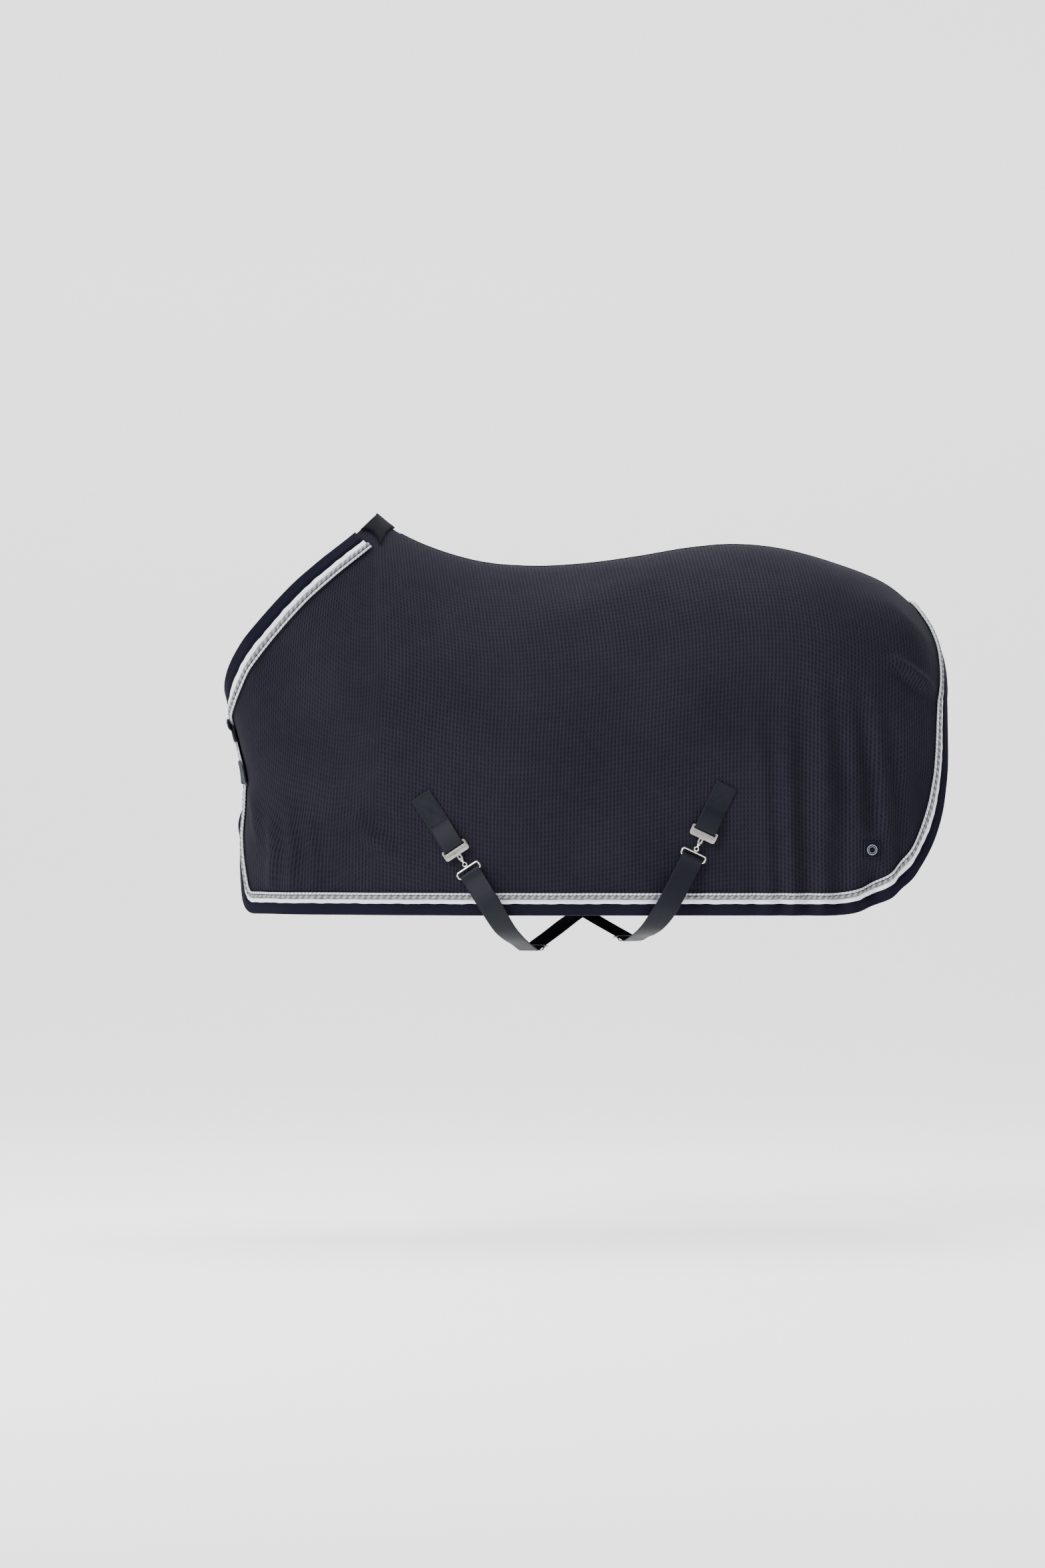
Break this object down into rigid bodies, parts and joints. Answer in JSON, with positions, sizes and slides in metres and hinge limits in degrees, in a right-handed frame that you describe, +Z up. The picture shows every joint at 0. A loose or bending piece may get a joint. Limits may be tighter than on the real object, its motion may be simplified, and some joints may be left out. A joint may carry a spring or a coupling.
{
  "type": "horse rug",
  "caption": "Waffle fleece horse rug with bound and corded edges, a withers patch, chest straps and crossed belly straps with swivel clips.",
  "frame": {"origin": "underside of the rug on the spine at the withers", "axes": "+X from the chest towards the tail, +Z up, -Y the near (left) side where the straps fasten"},
  "size_m": [1.6567, 0.6664, 1.004],
  "materials": {
    "fleece": "waffle fleece, navy",
    "dark_fleece": "plain fleece",
    "binding": "woven edge binding",
    "white_tape": "plain woven tape",
    "grey_cord": "twisted cord",
    "white_cord": "twisted cord",
    "webbing": "ribbed webbing",
    "slate_webbing": "ribbed webbing",
    "hook_pile": "hook and loop tape",
    "red_ribbon": "woven ribbon",
    "badge_thread": "embroidery",
    "nickel": "satin nickel plate",
    "bright_nickel": "bright nickel plate"
  },
  "bodies": {
    "rug": {"near_panel": "fleece", "near_binding": "binding", "near_outer_tape": "white_tape", "near_twist_cord": "grey_cord", "near_inner_cord": "white_cord", "off_panel": "fleece", "off_binding": "binding", "off_outer_tape": "white_tape", "off_twist_cord": "grey_cord", "off_inner_cord": "white_cord", "front_tab": "webbing", "front_belly_strap": "webbing", "front_strap_anchor": "binding", "front_tab_backing": "binding", "rear_tab": "webbing", "rear_belly_strap": "webbing", "rear_strap_anchor": "binding", "rear_tab_backing": "binding", "upper_chest_anchor": "slate_webbing", "lower_chest_anchor": "slate_webbing", "spine_seam_tape": "binding", "withers_patch": "dark_fleece", "withers_pad": "dark_fleece", "chest_loop_strip": "slate_webbing", "quarter_badge": "binding", "badge_ring": "badge_thread"},
    "front_clip": {"front_clip_plate": "nickel"},
    "front_hook": {"front_swivel_hook": "bright_nickel"},
    "front_loose_strap": {"front_strap": "webbing"},
    "front_bail_body": {"front_bail": "bright_nickel"},
    "front_slide_body": {"front_slide": "nickel"},
    "rear_clip": {"rear_clip_plate": "nickel"},
    "rear_hook": {"rear_swivel_hook": "bright_nickel"},
    "rear_loose_strap": {"rear_strap": "webbing"},
    "rear_bail_body": {"rear_bail": "bright_nickel"},
    "rear_slide_body": {"rear_slide": "nickel"},
    "upper_chest": {"upper_chest_strap": "slate_webbing", "upper_hook_pad": "hook_pile", "woven_label": "webbing", "red_tag": "red_ribbon"},
    "lower_chest": {"lower_chest_strap": "slate_webbing", "lower_hook_pad": "hook_pile"}
  },
  "joints": [
    {"name": "front_clip_swing", "type": "hinge", "parent": "rug", "child": "front_clip", "pos_m": [0.15724, -0.30682, -0.72725], "axis": [-0.8245, 0.1327, -0.5501], "range_deg": [0, 60]},
    {"name": "front_hook_swivel", "type": "hinge", "parent": "front_clip", "child": "front_hook", "pos_m": [0.17788, -0.31015, -0.75898], "axis": [0.543, -0.0876, -0.8351], "continuous": true},
    {"name": "front_strap_release", "type": "hinge", "parent": "rug", "child": "front_loose_strap", "pos_m": [0.33, -0.215, -0.962], "axis": [0.8902, -0.4555, 0], "range_deg": [0, 100]},
    {"name": "front_bail_swing", "type": "hinge", "parent": "front_loose_strap", "child": "front_bail_body", "pos_m": [0.19618, -0.31311, -0.78712], "axis": [0.8245, -0.1327, 0.5501], "range_deg": [0, 60]},
    {"name": "front_slide_adjust", "type": "slide", "parent": "rug", "child": "front_slide_body", "axis": [0.4355, 0.8512, 0.293], "range_m": [0, 0.05]},
    {"name": "rear_clip_swing", "type": "hinge", "parent": "rug", "child": "rear_clip", "pos_m": [0.72588, -0.3149, -0.6891], "axis": [-0.9028, -0.0061, 0.43], "range_deg": [0, 60]},
    {"name": "rear_hook_swivel", "type": "hinge", "parent": "rear_clip", "child": "rear_hook", "pos_m": [0.70954, -0.31507, -0.72341], "axis": [-0.43, -0.0046, -0.9028], "continuous": true},
    {"name": "rear_strap_release", "type": "hinge", "parent": "rug", "child": "rear_loose_strap", "pos_m": [0.562, -0.215, -0.94], "axis": [0.8697, 0.4935, 0], "range_deg": [0, 100]},
    {"name": "rear_bail_swing", "type": "hinge", "parent": "rear_loose_strap", "child": "rear_bail_body", "pos_m": [0.69505, -0.31523, -0.75383], "axis": [0.9028, 0.0061, -0.43], "range_deg": [0, 60]},
    {"name": "rear_slide_adjust", "type": "slide", "parent": "rug", "child": "rear_slide_body", "axis": [-0.4773, 0.8411, 0.2543], "range_m": [0, 0.05]},
    {"name": "upper_chest_strap_open", "type": "hinge", "parent": "rug", "child": "upper_chest", "pos_m": [-0.35427, 0.09218, -0.464], "axis": [0.3869, 0.0068, -0.9221], "range_deg": [0, 110]},
    {"name": "lower_chest_strap_open", "type": "hinge", "parent": "rug", "child": "lower_chest", "pos_m": [-0.32692, 0.09307, -0.56], "axis": [0.2002, -0.0077, -0.9797], "range_deg": [0, 110]}
  ]
}
